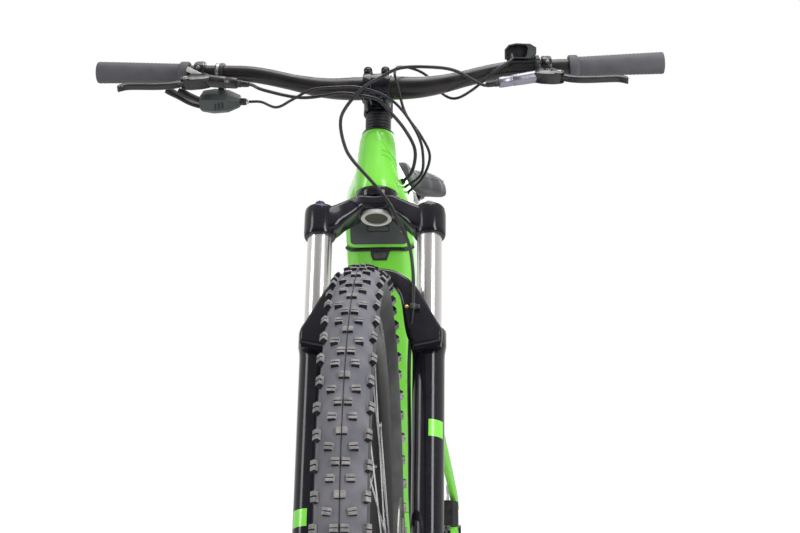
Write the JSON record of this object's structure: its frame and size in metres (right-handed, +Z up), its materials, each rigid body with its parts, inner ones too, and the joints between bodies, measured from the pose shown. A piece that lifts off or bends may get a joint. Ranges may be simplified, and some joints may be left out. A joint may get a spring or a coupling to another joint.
{
  "type": "electric mountain bike",
  "caption": "Hardtail electric mountain bike with a mid motor, a battery under the down tube, a telescopic fork, disc brakes and a wide riser bar.",
  "frame": {"origin": "centre of the bounding box's base: on the ground, midway between the wheel axles, in the mid plane", "axes": "+Z up; -Y the way the bike faces; +X to the rider's left"},
  "size_m": [0.7825, 1.91, 1.0644],
  "materials": {
    "anodised_black": "satin",
    "black_plastic": "satin",
    "brake_grey": "satin",
    "chrome": "polished",
    "gloss_black": "gloss",
    "green_paint": "gloss",
    "grey_plastic": "matte",
    "purple_anodised": "satin",
    "rubber": "matte",
    "saddle_cover": "matte",
    "steel": "satin",
    "tyre_rubber": "matte"
  },
  "bodies": {
    "frame": {"frame": "green_paint", "chain": "steel", "motor_unit": "black_plastic", "down_tube_cap": "grey_plastic", "headset_lower_cup": "gloss_black", "headset_cover": "black_plastic", "seat_clamp": "anodised_black", "rear_caliper": "black_plastic", "rear_axle": "anodised_black", "derailleur_body": "anodised_black"},
    "clamp_lever": {"seat_clamp_lever": "anodised_black"},
    "battery": {"battery_pack": "black_plastic", "battery_cover": "green_paint"},
    "latch": {"battery_latch": "black_plastic"},
    "seat": {"seatpost": "gloss_black", "saddle_shell": "black_plastic", "saddle_pad": "saddle_cover"},
    "steering": {"fork_crown": "gloss_black", "stanchion_left": "chrome", "stanchion_right": "chrome", "headset_spacers": "black_plastic", "stem": "gloss_black", "stem_faceplate": "gloss_black", "handlebar": "anodised_black", "grip_left": "rubber", "grip_right": "rubber", "brake_body_left": "brake_grey", "brake_body_right": "brake_grey", "shifter_body": "black_plastic", "remote_housing": "black_plastic", "front_brake_hose": "black_plastic", "rear_brake_hose": "black_plastic", "shift_cable": "black_plastic", "remote_cable": "black_plastic"},
    "lockout": {"lockout_dial": "purple_anodised"},
    "brake_lever_left": {"brake_lever_left": "brake_grey"},
    "brake_lever_right": {"brake_lever_right": "brake_grey"},
    "shift_paddle": {"shift_paddle": "black_plastic"},
    "release_paddle": {"release_paddle": "black_plastic"},
    "remote_button": {"remote_button": "grey_plastic"},
    "fork_lowers": {"fork_lowers": "gloss_black", "front_caliper": "black_plastic", "front_axle": "anodised_black"},
    "front_wheel": {"front_tyre": "tyre_rubber", "front_rim": "anodised_black", "front_hub": "anodised_black", "front_rotor": "steel"},
    "rear_wheel": {"rear_tyre": "tyre_rubber", "rear_rim": "anodised_black", "rear_hub": "anodised_black", "rear_rotor": "steel"},
    "cassette": {"cassette": "steel"},
    "crank": {"crank_arm_left": "gloss_black", "crank_arm_right": "gloss_black", "chainring": "black_plastic"},
    "pedal_left": {"pedal_left": "black_plastic"},
    "pedal_right": {"pedal_right": "black_plastic"},
    "cage": {"derailleur_cage": "black_plastic"},
    "guide_pulley": {"guide_pulley": "black_plastic"},
    "tension_pulley": {"tension_pulley": "black_plastic"}
  },
  "joints": [
    {"name": "steering", "type": "hinge", "parent": "frame", "child": "steering", "pos_m": [0, -0.34195, 0.84343], "axis": [0, 0.3746, 0.9272], "range_deg": [-38, 38], "deforming": ["rear_brake_hose", "shift_cable", "remote_cable"]},
    {"name": "fork_travel", "type": "slide", "parent": "steering", "child": "fork_lowers", "axis": [0, 0.3746, 0.9272], "range_m": [0, 0.11], "stiffness_N_per_m": 7000, "springref_m": -0.02, "deforming": ["front_brake_hose"]},
    {"name": "front_wheel_spin", "type": "hinge", "parent": "fork_lowers", "child": "front_wheel", "pos_m": [0, -0.585, 0.37], "axis": [1, 0, 0], "continuous": true},
    {"name": "rear_wheel_spin", "type": "hinge", "parent": "frame", "child": "rear_wheel", "pos_m": [0, 0.585, 0.37], "axis": [1, 0, 0], "continuous": true},
    {"name": "crank_spin", "type": "hinge", "parent": "frame", "child": "crank", "pos_m": [0, 0.11823, 0.315], "axis": [1, 0, 0], "continuous": true},
    {"name": "cassette_spin", "type": "hinge", "parent": "frame", "child": "cassette", "pos_m": [0, 0.585, 0.37], "axis": [1, 0, 0], "continuous": true},
    {"name": "guide_pulley_spin", "type": "hinge", "parent": "cage", "child": "guide_pulley", "pos_m": [0, 0.597, 0.269], "axis": [1, 0, 0], "continuous": true},
    {"name": "tension_pulley_spin", "type": "hinge", "parent": "cage", "child": "tension_pulley", "pos_m": [0, 0.569, 0.186], "axis": [1, 0, 0], "continuous": true},
    {"name": "pedal_left_spin", "type": "hinge", "parent": "crank", "child": "pedal_left", "pos_m": [0, 0.28823, 0.315], "axis": [1, 0, 0], "continuous": true},
    {"name": "pedal_right_spin", "type": "hinge", "parent": "crank", "child": "pedal_right", "pos_m": [0, -0.05177, 0.315], "axis": [1, 0, 0], "continuous": true},
    {"name": "derailleur_cage_swing", "type": "hinge", "parent": "frame", "child": "cage", "pos_m": [0, 0.597, 0.269], "axis": [1, 0, 0], "range_deg": [-35, 0], "stiffness_Nm_per_rad": 1.5, "springref_deg": 20.05, "deforming": ["chain"]},
    {"name": "brake_lever_left", "type": "hinge", "parent": "steering", "child": "brake_lever_left", "pos_m": [0.24618, -0.32666, 1.01491], "axis": [0.0216, -0.5298, 0.8479], "range_deg": [0, 15], "stiffness_Nm_per_rad": 1.2, "springref_deg": -8.59},
    {"name": "brake_lever_right", "type": "hinge", "parent": "steering", "child": "brake_lever_right", "pos_m": [-0.26018, -0.32504, 1.01557], "axis": [0.0216, 0.5298, -0.8479], "range_deg": [0, 15], "stiffness_Nm_per_rad": 1.2, "springref_deg": -8.59},
    {"name": "shift_paddle", "type": "hinge", "parent": "steering", "child": "shift_paddle", "pos_m": [-0.23653, -0.30813, 1.02674], "axis": [-0.0216, -0.5298, 0.8479], "range_deg": [0, 25], "stiffness_Nm_per_rad": 0.4, "springref_deg": -11.46},
    {"name": "release_paddle", "type": "hinge", "parent": "steering", "child": "release_paddle", "pos_m": [-0.23653, -0.30813, 1.02674], "axis": [0.0216, 0.5298, -0.8479], "range_deg": [0, 10], "stiffness_Nm_per_rad": 0.4, "springref_deg": -11.46},
    {"name": "remote_button", "type": "slide", "parent": "steering", "child": "remote_button", "axis": [0.1222, -0.8403, -0.5282], "range_m": [0, 0.0015], "stiffness_N_per_m": 600, "springref_m": -0.001},
    {"name": "lockout_dial", "type": "hinge", "parent": "steering", "child": "lockout", "pos_m": [-0.0735, -0.36499, 0.83979], "axis": [0, 0.3746, 0.9272], "range_deg": [0, 90]},
    {"name": "battery_hinge", "type": "hinge", "parent": "frame", "child": "battery", "pos_m": [0, -0.03197, 0.42273], "axis": [-1, 0, 0], "range_deg": [-10, 0]},
    {"name": "battery_latch", "type": "slide", "parent": "battery", "child": "latch", "axis": [0, 0.5755, -0.8178], "range_m": [0, 0.004], "stiffness_N_per_m": 400, "springref_m": -0.002},
    {"name": "seat_height", "type": "slide", "parent": "frame", "child": "seat", "axis": [0, 0.2756, 0.9613], "range_m": [-0.15, 0.03]},
    {"name": "seat_clamp_lever", "type": "hinge", "parent": "frame", "child": "clamp_lever", "pos_m": [0.0145, 0.2672, 0.7373], "axis": [0, 0.2756, 0.9613], "range_deg": [0, 110]}
  ],
  "couplings": [
    {"joint": "cassette_spin", "follows": "crank_spin", "ratio": 1.5833},
    {"joint": "tension_pulley_spin", "follows": "crank_spin", "ratio": 3.4545},
    {"joint": "guide_pulley_spin", "follows": "crank_spin", "ratio": -3.4545}
  ]
}
